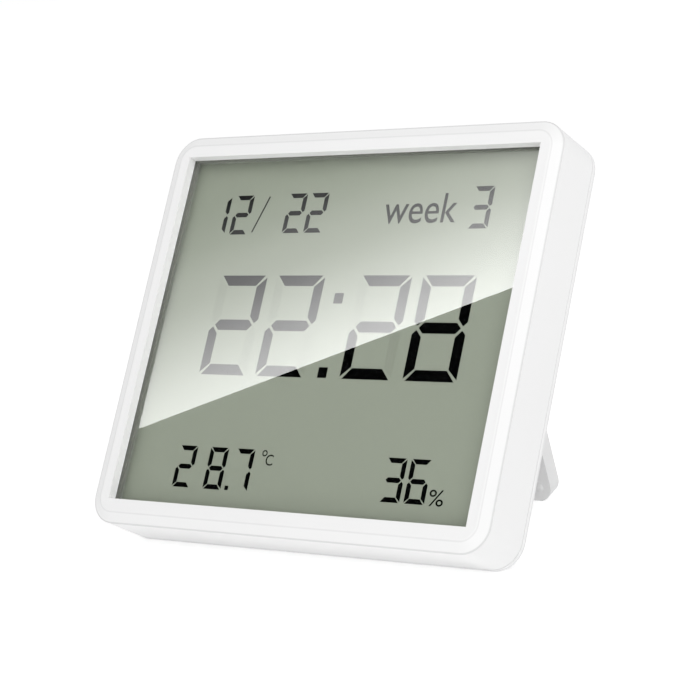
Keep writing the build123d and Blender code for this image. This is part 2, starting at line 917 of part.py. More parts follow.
def resting_place(shapes):
    """Leans the case back and sets the middle of the whole object's footprint at the origin."""
    boxes = [(Rot(-lean, 0, 0) * shape).bounding_box() for shape in shapes]
    middle_x = (min(box.min.X for box in boxes) + max(box.max.X for box in boxes)) / 2
    middle_y = (min(box.min.Y for box in boxes) + max(box.max.Y for box in boxes)) / 2
    lowest = min(box.min.Z for box in boxes)
    return Pos(-middle_x, -middle_y, -lowest) * Rot(-lean, 0, 0)


pieces = {name: as_shape(made) for name, made in make_pieces().items()}
place = resting_place(pieces.values())
os.makedirs("parts", exist_ok=True)
for name, shape in pieces.items():
    export_step(place * shape, "parts/" + name + ".step")

print("lean", lean, "foot cut", foot_cut, "seat bottom", recess_bottom)
print("place", place)
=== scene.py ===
"""Looks of a desk display for temperature, humidity and time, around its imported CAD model.

Sizes are in metres unless a name, a comment or a subtype says otherwise. Pieces of the case are
modelled upright, with X to the viewer's right, Y back from the front face and Z up from the
middle of the case, and mount() then leans them back with the case on its stand.
"""

import json
import math

import bpy
from bpy.props import FloatProperty, FloatVectorProperty, IntProperty, PointerProperty
from mathutils import Matrix, Vector


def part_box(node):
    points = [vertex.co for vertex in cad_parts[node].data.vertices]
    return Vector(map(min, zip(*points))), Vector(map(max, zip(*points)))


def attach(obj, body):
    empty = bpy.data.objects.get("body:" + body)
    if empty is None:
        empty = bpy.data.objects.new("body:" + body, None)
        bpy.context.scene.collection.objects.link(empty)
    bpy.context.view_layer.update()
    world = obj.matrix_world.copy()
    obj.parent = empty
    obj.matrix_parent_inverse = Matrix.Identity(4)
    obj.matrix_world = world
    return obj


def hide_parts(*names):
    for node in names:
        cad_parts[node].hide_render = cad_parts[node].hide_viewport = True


bl_info = {
    "name": "Desk display with folding stand",
    "version": (1, 0, 0),
    "blender": (4, 5, 0),
    "location": "3D View > Sidebar > Desk display",
    "description": "Models and finishes a temperature and humidity display",
    "category": "Add Mesh",
}

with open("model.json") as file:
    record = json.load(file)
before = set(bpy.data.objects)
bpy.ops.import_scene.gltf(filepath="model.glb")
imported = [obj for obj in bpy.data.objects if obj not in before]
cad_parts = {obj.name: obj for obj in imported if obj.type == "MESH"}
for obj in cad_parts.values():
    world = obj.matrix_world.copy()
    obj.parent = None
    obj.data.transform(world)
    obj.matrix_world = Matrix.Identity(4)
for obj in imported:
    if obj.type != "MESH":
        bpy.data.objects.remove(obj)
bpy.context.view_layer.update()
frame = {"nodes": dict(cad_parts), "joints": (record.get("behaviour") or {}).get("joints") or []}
NODES = frame["nodes"]
MM = 0.001


def mm(*lengths):
    """Lengths that are given in millimetres."""
    return tuple(length * MM for length in lengths)


# The case's own directions and origin, from the joint of the battery door
DOOR_JOINT = next(j for j in frame["joints"] if j["name"] == "battery_door_turn")
BACKWARDS = Vector(DOOR_JOINT["axis"]).normalized()
UPWARDS = Vector((1, 0, 0)).cross(BACKWARDS)
DOOR_DEPTH = 10.5 * MM
CELL_HEIGHT = -8.0 * MM
CASE_ORIGIN = Vector(DOOR_JOINT["pos_m"]) - DOOR_DEPTH * BACKWARDS - CELL_HEIGHT * UPWARDS
LEAN = math.atan2(-BACKWARDS.z, BACKWARDS.y)
LEANING = Matrix.Translation(CASE_ORIGIN) @ Matrix.Rotation(-LEAN, 4, "X")

# Depths behind the front face
PANE_FRONT = 2.1 * MM
INK_DEPTH = 4.435 * MM
CELL_FRONT = 6.15 * MM
BOARD_BACK = 7.0 * MM
CELL_BACK = 9.35 * MM
SCREW_SEAT = 13.9 * MM
CASE_BACK = 14.9 * MM

# The turn that makes a flat primitive face the viewer
FACING = (math.pi / 2, 0, 0)


# Values that a user may change


def length_value(name, description, millimetres):
    """A length of a group of values."""
    default = millimetres * MM
    return FloatProperty(name=name, description=description, default=default, unit="LENGTH")


def angle_value(name, description, degrees):
    """An angle of a group of values."""
    default = math.radians(degrees)
    return FloatProperty(name=name, description=description, default=default, unit="ROTATION")


def colour_value(name, description, default):
    """A colour of a group of values."""
    return FloatVectorProperty(
        name=name, description=description, default=default, subtype="COLOR"
    )


class DisplayValues(bpy.types.PropertyGroup):
    """Sizes of what the liquid crystal display shows."""

    large_width: length_value("Large digit width", "Width of a digit of the time", 12.8)
    large_height: length_value("Large digit height", "Height of a digit of the time", 22.5)
    large_stroke: length_value("Large stroke", "Thickness of a segment of the time", 2.35)
    small_width: length_value("Small digit width", "Width of a small digit", 4.87)
    small_height: length_value("Small digit height", "Height of a small digit", 9.1)
    small_stroke: length_value("Small stroke", "Thickness of a segment of a small digit", 1.05)
    ink_thickness: length_value(
        "Segment depth", "Depth of the segments behind the front glass", 0.015
    )


class FinishValues(bpy.types.PropertyGroup):
    """Colours of the plain finishes."""

    case_colour: colour_value("Case", "White of the moulded case", (0.87, 0.87, 0.87))
    # The stand's white is greyer than the case's: painted shade on the stand, and the battery door
    # shares it
    stand_colour: colour_value(
        "Stand", "White of the stand and the battery door", (0.79, 0.79, 0.79)
    )
    field_colour: colour_value(
        "Display field", "Grey-green of the display behind its segments", (0.43, 0.45, 0.404)
    )
    mask_colour: colour_value(
        "Circuit board", "Solder mask of the circuit board", (0.015, 0.12, 0.035)
    )


class ScrewValues(bpy.types.PropertyGroup):
    """Sizes of the cover's screws."""

    head_radius: length_value("Head radius", "Radius of the head", 1.9)
    head_height: length_value("Head height", "Height of the head", 0.9)
    core_radius: length_value("Core radius", "Radius under the thread", 0.72)
    thread_radius: length_value("Thread radius", "Radius over the thread", 0.9)
    length: length_value("Length", "Length under the head", 5.0)
    turns: IntProperty(name="Turns", description="Turns of the thread", default=7)


class StageValues(bpy.types.PropertyGroup):
    """The camera and the light around the object."""

    azimuth: angle_value("Camera azimuth", "Turn of the camera round the object", 36.398)
    elevation: angle_value("Camera elevation", "Height of the camera as an angle", 10.300)
    roll: angle_value("Camera roll", "Turn of the camera about its own axis", -6.121)
    distance: length_value("Camera distance", "From the camera to its aim", 434.88)
    aim: FloatVectorProperty(
        name="Camera aim",
        description="The point that the camera looks at",
        default=(0.0057, -0.007, 0.0402),
        subtype="TRANSLATION",
    )
    lens: FloatProperty(name="Lens", description="Focal length in millimetres", default=108.9)
    glare_strength: FloatProperty(
        name="Glare", description="Light of the mirrored card", default=6.2
    )
    floor_size: length_value("Floor", "Side of the floor", 60000.0)


# Modelling helpers


def leave_edit():
    """Leaves edit mode."""
    active = bpy.context.view_layer.objects.active
    if active and active.mode != "OBJECT":
        bpy.ops.object.mode_set(mode="OBJECT")


def deselect():
    """Leaves edit mode and selects nothing."""
    leave_edit()
    bpy.ops.object.select_all(action="DESELECT")


def pick(*pieces):
    """Selects these objects alone, the first of them active."""
    deselect()
    for piece in pieces:
        piece.select_set(True)
    bpy.context.view_layer.objects.active = pieces[0]


def settle(piece, place=(0, 0, 0), turn=(0, 0, 0), scale=(1, 1, 1)):
    """Gives an object a place, turn and scale, and puts them into its mesh."""
    pick(piece)
    piece.location, piece.rotation_euler, piece.scale = place, turn, scale
    bpy.ops.object.transform_apply(location=True, rotation=True, scale=True)
    return piece


def add(kind, **settings):
    """Adds a mesh primitive of this kind."""
    deselect()
    getattr(bpy.ops.mesh, f"primitive_{kind}_add")(**settings)
    return bpy.context.object


def new_plate(x, z, width, height, depth):
    """A flat rectangle that faces the viewer, centred at x and z."""
    return settle(add("plane", size=1), (x, depth, z), FACING, (width, height, 1))


def new_block(centre, size):
    """A cuboid with its place in its mesh."""
    return settle(add("cube", size=1), centre, scale=size)


def new_disc(radius, x, z, front, back, sides=48):
    """A cylinder whose axis runs front to back."""
    piece = add("cylinder", vertices=sides, radius=radius, depth=back - front)
    return settle(piece, (x, (front + back) / 2, z), FACING)


def edit(piece, kind="VERT", action="DESELECT"):
    """Enters edit mode on one object with nothing selected, or with everything."""
    pick(piece)
    bpy.ops.object.mode_set(mode="EDIT")
    bpy.ops.mesh.select_mode(type=kind)
    bpy.ops.mesh.select_all(action=action)


def select_faces(piece, direction):
    """Selects the faces that look in a direction, and stays in edit mode."""
    nearly_along = 0.9
    edit(piece, "FACE")
    leave_edit()
    for face in piece.data.polygons:
        face.select = face.normal.dot(Vector(direction)) > nearly_along
    bpy.ops.object.mode_set(mode="EDIT")


def extrude(side, steps):
    """Extrudes the selected faces along steps, with x to the left where the side is -1."""
    for x, y, z in steps:
        bpy.ops.mesh.extrude_region_move(TRANSFORM_OT_translate={"value": (side * x, y, z)})
    leave_edit()


def bevel_end(piece, direction, width, segments):
    """Rounds the edges of the faces that look in a direction."""
    select_faces(piece, direction)
    bpy.ops.mesh.bevel(offset=width, segments=segments)
    leave_edit()


def trim(piece, *cuts):
    """Cuts a flat plate along lines, each two points (x, z), and keeps the middle."""
    edit(piece)
    corners = [v.co.copy() for v in piece.data.vertices]
    middle = sum(corners, Vector()) / len(corners)
    for (x1, z1), (x2, z2) in cuts:
        start = Vector((x1, middle.y, z1))
        normal = Vector((z2 - z1, 0, x1 - x2)).normalized()
        if normal.dot(middle - start) > 0:
            normal = -normal
        bpy.ops.mesh.select_all(action="SELECT")
        bpy.ops.mesh.bisect(plane_co=start, plane_no=normal, clear_outer=True)
    leave_edit()
    return piece


def modify(piece, kind, **settings):
    """Adds a modifier with these settings and applies it."""
    pick(piece)
    modifier = piece.modifiers.new(kind.title(), kind)
    for name, value in settings.items():
        setattr(modifier, name, value)
    bpy.ops.object.modifier_apply(modifier=modifier.name)
    return piece


def thicken(piece, thickness, side=1.0):
    """Gives flat plates a depth towards the viewer, or away with side -1."""
    return modify(piece, "SOLIDIFY", thickness=thickness, offset=side)


def break_edges(piece, width):
    """Rounds an object's sharp edges a little."""
    return modify(piece, "BEVEL", width=width, segments=2, limit_method="ANGLE")


def join(name, pieces):
    """Joins objects into one with this name."""
    pick(*pieces)
    if len(pieces) > 1:
        bpy.ops.object.join()
    piece = bpy.context.object
    piece.name = piece.data.name = name
    return piece


def copies(piece, moves):
    """Moves copies of a finished shape by these offsets, and deletes the shape."""
    made = []
    for move in moves:
        pick(piece)
        bpy.ops.object.duplicate(linked=False)
        made.append(settle(bpy.context.object, move))
    pick(piece)
    bpy.ops.object.delete()
    return made


def smooth(piece):
    """Smooth shading with sharp edges kept."""
    pick(piece)
    bpy.ops.object.shade_smooth_by_angle(angle=math.radians(35))
    return piece


def outwards(piece):
    """Merges doubles and turns every face outwards."""
    edit(piece, action="SELECT")
    bpy.ops.mesh.remove_doubles(threshold=1e-7)
    bpy.ops.mesh.normals_make_consistent(inside=False)
    leave_edit()
    return piece


def mount(piece, slot, material, *replaced):
    """Leans an upright piece back, gives it its finish and fixes it to the case."""
    settle(piece, CASE_ORIGIN, (-LEAN, 0, 0))
    piece.data.materials.clear()
    piece.data.materials.append(material)
    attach(piece, "case")
    if replaced:
        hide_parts(*replaced)


# Shader helpers

WHITE = (1.0, 1.0, 1.0)
BLACK = (0.0, 0.0, 0.0)


def maths(operation, reverse=False):
    """A method that joins a socket with another one, or with a number, by a Math node."""

    def method(self, other):
        first, second = (other, self) if reverse else (self, other)
        return self.finish.node("Math", {0: first, 1: second}, operation=operation)

    return method


class Value:
    """A shader socket that takes part in Python expressions."""

    def __init__(self, finish, socket):
        self.finish = finish
        self.socket = socket

    __add__ = maths("ADD")
    __radd__ = maths("ADD", reverse=True)
    __sub__ = maths("SUBTRACT")
    __rsub__ = maths("SUBTRACT", reverse=True)
    __mul__ = maths("MULTIPLY")
    __rmul__ = maths("MULTIPLY", reverse=True)
    __truediv__ = maths("DIVIDE")
    __gt__ = maths("GREATER_THAN")
    __lt__ = maths("LESS_THAN")
    zigzag = maths("PINGPONG")
    snapped = maths("SNAP")

    def __abs__(self):
        return self.finish.node("Math", {0: self}, operation="ABSOLUTE")

    def output(self, name):
        """Another output of the node that this socket belongs to."""
        return Value(self.finish, self.socket.node.outputs[name])

    def clamped(self, low=0.0):
        """The value held between a lower end and 1."""
        return self.finish.node("Clamp", {"Value": self, "Min": low})


def varied(middle, mask, span):
    """A value that a mask from 0 to 1 moves about its middle."""
    return middle + (mask - 0.5) * span


def tint(colour, factor):
    """A colour made lighter or darker."""
    return tuple(min(1.0, part * factor) for part in colour)


class Finish:
    """A material, or a world, whose nodes are written as expressions."""

    def __init__(self, name, owner=None):
        self.holder = owner or bpy.data.materials.new(name)
        self.holder.use_nodes = True
        self.tree = self.holder.node_tree
        self.tree.nodes.clear()

    def node(self, kind, inputs=None, output=0, **settings):
        """Adds a shader node with its settings, then its inputs by name or number."""
        node = self.tree.nodes.new("ShaderNode" + kind)
        for name, value in settings.items():
            if name == "stops":
                self._ramp(node.color_ramp, value)
            else:
                setattr(node, name, value)
        for name, value in (inputs or {}).items():
            socket = node.inputs[name]
            if isinstance(value, Value):
                self.tree.links.new(value.socket, socket)
            else:
                socket.default_value = (*value, 1) if socket.type == "RGBA" else value
        return Value(self, node.outputs[output])

    @staticmethod
    def _ramp(ramp, stops):
        while len(ramp.elements) < len(stops):
            ramp.elements.new(0.5)
        for element, (place, grey) in zip(ramp.elements, stops):
            element.position = place
            element.color = (grey, grey, grey, 1)

    def place(self, upright=False):
        """Object coordinates, turned upright with the case where a pattern follows it."""
        place = self.node("TexCoord", output="Object")
        if not upright:
            return place
        place = self.node("VectorMath", {0: place, 1: tuple(CASE_ORIGIN)}, operation="SUBTRACT")
        turn = tuple(LEANING.inverted().to_euler())
        return self.node("Mapping", {"Vector": place, "Rotation": turn})

    def split(self, place):
        """The three parts of a place."""
        parts = self.node("SeparateXYZ", {"Vector": place})
        return [parts.output(axis) for axis in "XYZ"]

    def noise(self, size, detail=2.0, roughness=0.5, place=None):
        """Noise from 0 to 1 with lumps of about that size."""
        place = place or self.place()
        inputs = {"Vector": place, "Scale": 1 / size, "Detail": detail, "Roughness": roughness}
        return self.node("TexNoise", inputs)

    def shade(self, mask, low, high):
        """A colour between two, by a mask from 0 to 1."""
        return self.node("Mix", {"Factor": mask, 6: low, 7: high}, output=2, data_type="RGBA")

    def mottled(self, mask, colour, change):
        """A colour that a mask from 0 to 1 makes darker and lighter by a share."""
        return self.shade(mask, tint(colour, 1 - change), tint(colour, 1 + change))

    def bump(self, height, depth):
        """A normal from a height from 0 to 1 that stands for a depth in metres."""
        return self.node("Bump", {"Height": height, "Distance": depth})

    def seen(self):
        """1 for what the camera, a mirror or a clear piece looks at, and 0 for other light."""
        path = self.node("LightPath", output="Is Camera Ray")
        return path + path.output("Is Glossy Ray") + path.output("Is Transmission Ray")

    def clear(self, colour):
        """A see-through shader with a tint."""
        return self.node("BsdfTransparent", {"Color": colour})

    def surface(self, shader, kind="Material"):
        """Makes a shader the surface of the material, or of the world."""
        out = self.tree.nodes.new("ShaderNodeOutput" + kind)
        self.tree.links.new(shader.socket, out.inputs["Surface"])
        return self.holder

    def blended(self, factor, first, second):
        """Makes two mixed shaders the surface."""
        return self.surface(self.node("MixShader", {0: factor, 1: first, 2: second}))

    def principled(self, **inputs):
        """Makes a Principled shader the surface, with inputs named by their words."""
        named = {}
        for name, value in inputs.items():
            named[name.replace("_", " ").title().replace("Ior", "IOR")] = value
        return self.surface(self.node("BsdfPrincipled", named))


# Finishes

# Half sizes of the frame outside which the crease and the seams run
LINE_FRAME = mm(46.5, 40.9)
# Depth, half width and darkness of the painted shade lines: crease, two seams, back edge
CASE_SHADE_LINES = (
    (0.13 * MM, 0.09 * MM, 0.09),
    (1.15 * MM, 0.17 * MM, 0.2),
    (13.2 * MM, 0.2 * MM, 0.18),
    (14.35 * MM, 0.5 * MM, 0.1),
)
COARSE_SPARK = {"grain": 0.35 * MM, "depth": 0.006 * MM}
FINE_SPARK = {"grain": 0.2 * MM, "depth": 0.002 * MM}
PANE_TINT = (0.985, 0.99, 0.985)
# Both faces of the pane mirror
PANE_FACES = 2.0
# Share of a thin clear sheet that shows its own body
FILM_SHARE = 0.001
CRYSTAL_GRAIN = 0.12 * MM
INK = (0.002, 0.002, 0.0025)
IDLE_SHADE = 0.92
# Colour and roughness of the metals
METALS = {
    "zinc_plate": ((0.62, 0.63, 0.66), 0.3),
    "tinned_metal": ((0.72, 0.72, 0.7), 0.35),
    "nickel_can": ((0.66, 0.64, 0.6), 0.25),
    "contact_nickel": ((0.68, 0.65, 0.6), 0.3),
    "cell_can": ((0.62, 0.62, 0.63), 0.3),
    "screw_steel": ((0.62, 0.63, 0.66), 0.3),
}
# Colour and roughness of the plain bodies
BODIES = {
    "potting_resin": ((0.012, 0.012, 0.013), 0.22),
    "seal_nylon": ((0.03, 0.03, 0.035), 0.5),
    "etched_steel": ((0.3, 0.3, 0.31), 0.6),
    "ceramic": ((0.42, 0.3, 0.17), 0.5),
    "sensor_package": ((0.02, 0.02, 0.02), 0.45),
    "plain_resin": ((0.012, 0.012, 0.013), 0.25),
    "switch_nylon": ((0.022, 0.022, 0.024), 0.5),
    "plunger_acetal": ((0.62, 0.56, 0.42), 0.45),
}


def moulded_plastic(name, colour, roughness, grain=0.28 * MM, depth=0.0025 * MM, lines=()):
    """Moulded plastic: fine spark texture, slow changes in gloss, flow marks, painted shade along
    the crease, seams and back edge.
    """
    finish = Finish(name)
    flow = finish.noise(22 * MM, detail=3.0)
    pores = finish.noise(grain, roughness=0.6)
    gloss = finish.noise(3 * MM)
    colours = finish.mottled(flow, colour, 0.015)
    if lines:
        across, back, up = finish.split(finish.place(upright=True))
        half_width, half_height = LINE_FRAME
        outside = (abs(across) > half_width) + (abs(up) > half_height) > 0.5
        # Each line darkens the colour towards black: painted shade in the crease, the seams and
        # the back edge
        for seam, half_line, share in lines:
            near = 2.0 - abs(back - seam) * (2.0 / half_line)
            colours = finish.shade(near.clamped() * outside * share, colours, BLACK)
    return finish.principled(
        base_color=colours,
        roughness=varied(varied(roughness, gloss, 0.1), pores, 0.08),
        ior=1.5,
        normal=finish.bump(pores, depth),
    )


def clear_pane(name):
    """Clear acrylic whose two faces mirror together, as seen from outside."""
    finish = Finish(name)
    fresnel = finish.node("Fresnel", {"IOR": 1.49})
    haze = finish.noise(9 * MM)
    mirror = finish.node("BsdfGlossy", {"Roughness": 0.0, "Color": WHITE})
    inside = finish.node("NewGeometry", output="Backfacing")
    mirrored = fresnel * (1 - inside) * varied(PANE_FACES, haze, 0.04)
    return finish.blended(mirrored, finish.clear(PANE_TINT), mirror)


def see_through(name, colour, body):
    """A thin clear sheet: mostly see-through, with a share of a plain body under it."""
    finish = Finish(name)
    cloud = finish.noise(4 * MM)
    inputs = {"Base Color": finish.mottled(cloud, body, 0.05), "Roughness": 0.25}
    film = finish.node("BsdfPrincipled", inputs)
    return finish.blended(FILM_SHARE * varied(1.0, cloud, 0.2), finish.clear(colour), film)


def display_field(name, colour):
    """The grey-green field: a fine even grain with a faint cloud."""
    finish = Finish(name)
    grain = finish.noise(CRYSTAL_GRAIN, roughness=0.6)
    cloud = finish.noise(30 * MM)
    grain_share = 0.6
    return finish.principled(
        base_color=finish.mottled(grain * grain_share + cloud * (1 - grain_share), colour, 0.03),
        roughness=varied(0.8, grain, 0.1),
        specular_ior_level=0.0,
        normal=finish.bump(grain, 0.002 * MM),
    )


def display_ink(name, colour):
    """Switched liquid crystal with a faint grain."""
    finish = Finish(name)
    grain = finish.noise(CRYSTAL_GRAIN, roughness=0.6)
    return finish.principled(
        base_color=finish.mottled(grain, colour, 0.1),
        roughness=varied(0.85, grain, 0.1),
        specular_ior_level=0.0,
    )


def foam(name):
    """Dark closed-cell foam."""
    finish = Finish(name)
    cell_size = 0.25 * MM
    cells = finish.node("TexVoronoi", {"Vector": finish.place(), "Scale": 1 / cell_size})
    return finish.principled(
        base_color=finish.shade(cells, (0.27, 0.29, 0.24), (0.14, 0.15, 0.12)),
        roughness=0.9,
        specular_ior_level=0.2,
        normal=finish.bump(cells, 0.05 * MM),
    )


def brushed_metal(name, ring=None):
    """Metal with fine scratches, straight or round an axis that runs front to back."""
    finish = Finish(name)
    colour, roughness = METALS[name]
    along, across = 4, 40
    place = finish.place(upright=True)
    if ring is None:
        stretch = (along, across, across)
    else:
        x, z = ring
        place = finish.node("VectorMath", {0: place, 1: (x, 0, z)}, operation="SUBTRACT")
        reach = finish.node("VectorMath", {0: place}, output="Value", operation="LENGTH")
        place = finish.node("CombineXYZ", {"X": reach})
        stretch = (across, across, across)
    stretched = finish.node("Mapping", {"Vector": place, "Scale": stretch})
    scratches = finish.noise(2.5 * MM, detail=3.0, place=stretched)
    stains = finish.noise(2.5 * MM)
    return finish.principled(
        base_color=finish.shade(stains, tint(colour, 0.9), tint(colour, 1.05)),
        metallic=1.0,
        roughness=varied(roughness, scratches, 0.2),
        normal=finish.bump(scratches, 0.003 * MM),
    )


def plain_mould(name, size=0.3 * MM, depth=0.006 * MM, change=0.12):
    """A simple moulded or fired body with its own grain."""
    finish = Finish(name)
    colour, roughness = BODIES[name]
    grain = finish.noise(size, detail=3.0, roughness=0.6)
    return finish.principled(
        base_color=finish.mottled(grain, colour, change),
        roughness=varied(roughness, grain, 0.15),
        normal=finish.bump(grain, depth),
    )


def solder_mask(name, colour):
    """Green solder mask over copper tracks that run across in some zones and up in others."""
    finish = Finish(name)
    place = finish.place(upright=True)
    across, _, up = finish.split(place)
    half_track = 0.13 * MM
    jog = finish.noise(14 * MM, detail=1.0, place=place).snapped(0.1) * (5.5 * MM)
    run = abs((across + jog).zigzag(0.8 * MM) - 0.4 * MM) < half_track
    rise = abs((up + jog).zigzag(1.1 * MM) - 0.5 * MM) < half_track
    zone = finish.noise(20 * MM, detail=1.0, place=place) > 0.5
    track = run * zone + rise * (1 - zone)
    grain = finish.noise(0.2 * MM)
    return finish.principled(
        base_color=finish.shade(track, colour, tint(colour, 1.7)),
        roughness=varied(0.375, grain, 0.15),
        coat_weight=0.3,
        normal=finish.bump(track + grain * 0.1, 0.03 * MM),
    )


def striped_rubber(name):
    """Rubber with thin dark conducting layers across its length."""
    finish = Finish(name)
    across = finish.split(finish.place())[0]
    layer = 0.1 * MM
    dark = across.zigzag(layer) > layer / 2
    grain = finish.noise(0.4 * MM)
    return finish.principled(
        base_color=finish.shade(dark, (0.55, 0.25, 0.28), (0.03, 0.03, 0.035)),
        roughness=varied(0.625, grain, 0.15),
        normal=finish.bump(grain, 0.02 * MM),
    )


# The display

SEAL_WIDTH = 0.3 * MM
LAYER_DEPTH = 0.02 * MM
FIELD_MIDDLE = 0.7 * MM
FIELD_HEIGHT = 79.4 * MM
# How far the parts of a segment reach from its ends, as shares of its stroke
BAR_GAP = 0.24
BAR_SLANT = 1.13
POST_TOP_GAP = 0.2
POST_TOP_SLANT = 1.1
POST_LOW_GAP = 0.19
POST_LOW_SLANT = 0.58
POST_TIP = 0.4
POST_SHOULDER = 0.84
WAIST_GAP = 0.58
WAIST_SLANT = 1.05
SEGMENTS = {"1": "bc", "2": "abged", "3": "abgcd", "6": "acdefg", "7": "abc", "8": "abcdefg"}
# The rest is in millimetres. Large digits and their left edges, and their bottom
LARGE_DIGITS = (("2", -32.1), ("2", -16.8), ("2", 5.15), ("8", 20.75))
LARGE_BOTTOM = -9.55
# Small digits, their left edges, their bottoms and how much their height is stretched
SMALL_DIGITS = (
    ("1", -38.97, 22.75, 0.95),
    ("2", -32.75, 22.5, 1.0),
    ("2", -18.25, 22.65, 1.0),
    ("2", -12.5, 22.65, 1.0),
    ("3", 28.8, 23.0, 1.01),
    ("2", -32.44, -34.6, 1.0),
    ("8", -24.04, -34.6, 1.0),
    ("7", -17.06, -34.6, 1.0),
    ("3", 21.07, -34.6, 1.0),
    ("6", 26.93, -34.6, 1.0),
)
# Middle and side of the colon's dots and of the point
COLON = ((0.62, 7.9, 2.3), (0.62, -8.35, 2.3))
POINT = (-17.68, -34.08, 0.95)
# Ends and width of the slash
SLASH = ((-26.5, 22.94), (-23.56, 31.2), 0.36)
# Lettering and its left, right, bottom and top edge
LETTERING = (
    ("week", 7.6, 25.6, 24.35, 30.9),
    ("°", -10.25, -8.9, -26.85, -25.5),
    ("C", -9.0, -7.1, -28.75, -26.4),
    ("%", 32.6, 36.06, -34.7, -31.4),
)


def segment_plates(width, height, stroke, letters):
    """The plates of a seven-segment digit that stands on z = 0 at x = 0, for these letters."""
    middle = height / 2

    def bar(upper):
        z = height if upper else 0.0
        inner = z - stroke if upper else z + stroke
        gap, slant = BAR_GAP * stroke, BAR_SLANT * stroke
        piece = new_plate(width / 2, (z + inner) / 2, width - 2 * gap, stroke, INK_DEPTH)
        return trim(piece, ((gap, z), (slant, inner)), ((width - gap, z), (width - slant, inner)))

    def post(right, upper):
        def turned(x, z):
            return x if right else width - x, z if upper else height - z

        top, bottom = height - POST_TOP_GAP * stroke, middle + POST_LOW_GAP * stroke
        centre = turned(width - stroke / 2, (top + bottom) / 2)
        piece = new_plate(*centre, stroke, top - bottom, INK_DEPTH)
        tip = (width - POST_TIP * stroke, bottom)
        cuts = (
            ((width, top), (width - stroke, height - POST_TOP_SLANT * stroke)),
            ((width, middle + POST_LOW_SLANT * stroke), tip),
            ((width - stroke, middle + POST_SHOULDER * stroke), tip),
        )
        return trim(piece, *[[turned(*end) for end in cut] for cut in cuts])

    def waist():
        gap, slant = WAIST_GAP * stroke, WAIST_SLANT * stroke
        piece = new_plate(width / 2, middle, width - 2 * gap, stroke, INK_DEPTH)
        for side, inner in ((gap, slant), (width - gap, width - slant)):
            for level in (middle - stroke / 2, middle + stroke / 2):
                trim(piece, ((side, middle), (inner, level)))
        return piece

    makers = {
        "a": (bar, True),
        "b": (post, True, True),
        "c": (post, True, False),
        "d": (bar, False),
        "e": (post, False, False),
        "f": (post, False, True),
        "g": (waist,),
    }
    plates = []
    for letter in letters:
        make, *sides = makers[letter]
        plates.append(make(*sides))
    return plates


def moved(pieces, x, z, stretch=1.0):
    """Moves flat plates in the display's plane, after stretching their height."""
    for piece in pieces:
        settle(piece, mm(x, 0, z), scale=(1, 1, stretch))
    return pieces


def large_segments(values, idle=False):
    """Plates of the four large digits: the segments that are shown, or those left idle."""
    plates = []
    for digit, left in LARGE_DIGITS:
        letters = SEGMENTS[digit]
        if idle:
            letters = [letter for letter in "abcdefg" if letter not in SEGMENTS[digit]]
        sizes = (values.large_width, values.large_height, values.large_stroke)
        plates += moved(segment_plates(*sizes, letters), left, LARGE_BOTTOM)
    return plates


def new_dot(x, z, side):
    """A square dot of the display."""
    return new_plate(*mm(x, z, side, side), INK_DEPTH)


def words(text, *edges):
    """Flat lettering that fills a box in the display's plane."""
    left, right, bottom, top = mm(*edges)
    deselect()
    bpy.ops.object.text_add()
    bpy.context.object.data.body = text
    bpy.ops.object.convert(target="MESH")
    piece = settle(bpy.context.object, turn=FACING)
    xs = [v.co.x for v in piece.data.vertices]
    zs = [v.co.z for v in piece.data.vertices]
    across = (right - left) / (max(xs) - min(xs))
    up = (top - bottom) / (max(zs) - min(zs))
    place = (left - min(xs) * across, INK_DEPTH, bottom - min(zs) * up)
    return settle(piece, place, scale=(across, 1, up))


def mount_crystal(name, plates, values, material):
    """Makes one piece of the liquid crystal from flat plates."""
    mount(thicken(join(name, plates), values.ink_thickness), "lcd_glass", material)


class DISPLAY_OT_crystal_layer(bpy.types.Operator):
    """Makes the grey-green layer between the two glasses"""

    bl_idname = "desk_display.crystal_layer"
    bl_label = "Liquid crystal layer"

    def execute(self, context):
        low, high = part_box("lcd_rear_glass")
        width = high.x - low.x - 2 * SEAL_WIDTH
        plate = new_plate(0, FIELD_MIDDLE, width, FIELD_HEIGHT, INK_DEPTH)
        piece = thicken(join("liquid_crystal_layer", [plate]), LAYER_DEPTH, side=-1.0)
        colour = tuple(context.scene.finish_values.field_colour)
        mount(piece, "lcd_glass", display_field("liquid_crystal", colour))
        return {"FINISHED"}


class DISPLAY_OT_large_digits(bpy.types.Operator):
    """Makes the time: four digits and their colon"""

    bl_idname = "desk_display.large_digits"
    bl_label = "Large digits"

    def execute(self, context):
        values = context.scene.display_values
        plates = large_segments(values) + [new_dot(*dot) for dot in COLON]
        mount_crystal("display_time", plates, values, display_ink("switched_crystal", INK))
        return {"FINISHED"}


class DISPLAY_OT_idle_digits(bpy.types.Operator):
    """Makes the faint segments of the time that are switched off"""

    bl_idname = "desk_display.idle_digits"
    bl_label = "Idle segments"

    def execute(self, context):
        values = context.scene.display_values
        colour = tint(context.scene.finish_values.field_colour, IDLE_SHADE)
        plates = large_segments(values, idle=True)
        mount_crystal("display_idle_segments", plates, values, display_ink("idle_crystal", colour))
        return {"FINISHED"}


class DISPLAY_OT_small_digits(bpy.types.Operator):
    """Makes the date, the temperature and the humidity"""

    bl_idname = "desk_display.small_digits"
    bl_label = "Small digits"

    def execute(self, context):
        values = context.scene.display_values
        sizes = (values.small_width, values.small_height, values.small_stroke)
        plates = []
        for digit, left, bottom, stretch in SMALL_DIGITS:
            plates += moved(segment_plates(*sizes, SEGMENTS[digit]), left, bottom, stretch)
        plates.append(new_dot(*POINT))
        mount_crystal("display_values", plates, values, bpy.data.materials["switched_crystal"])
        return {"FINISHED"}


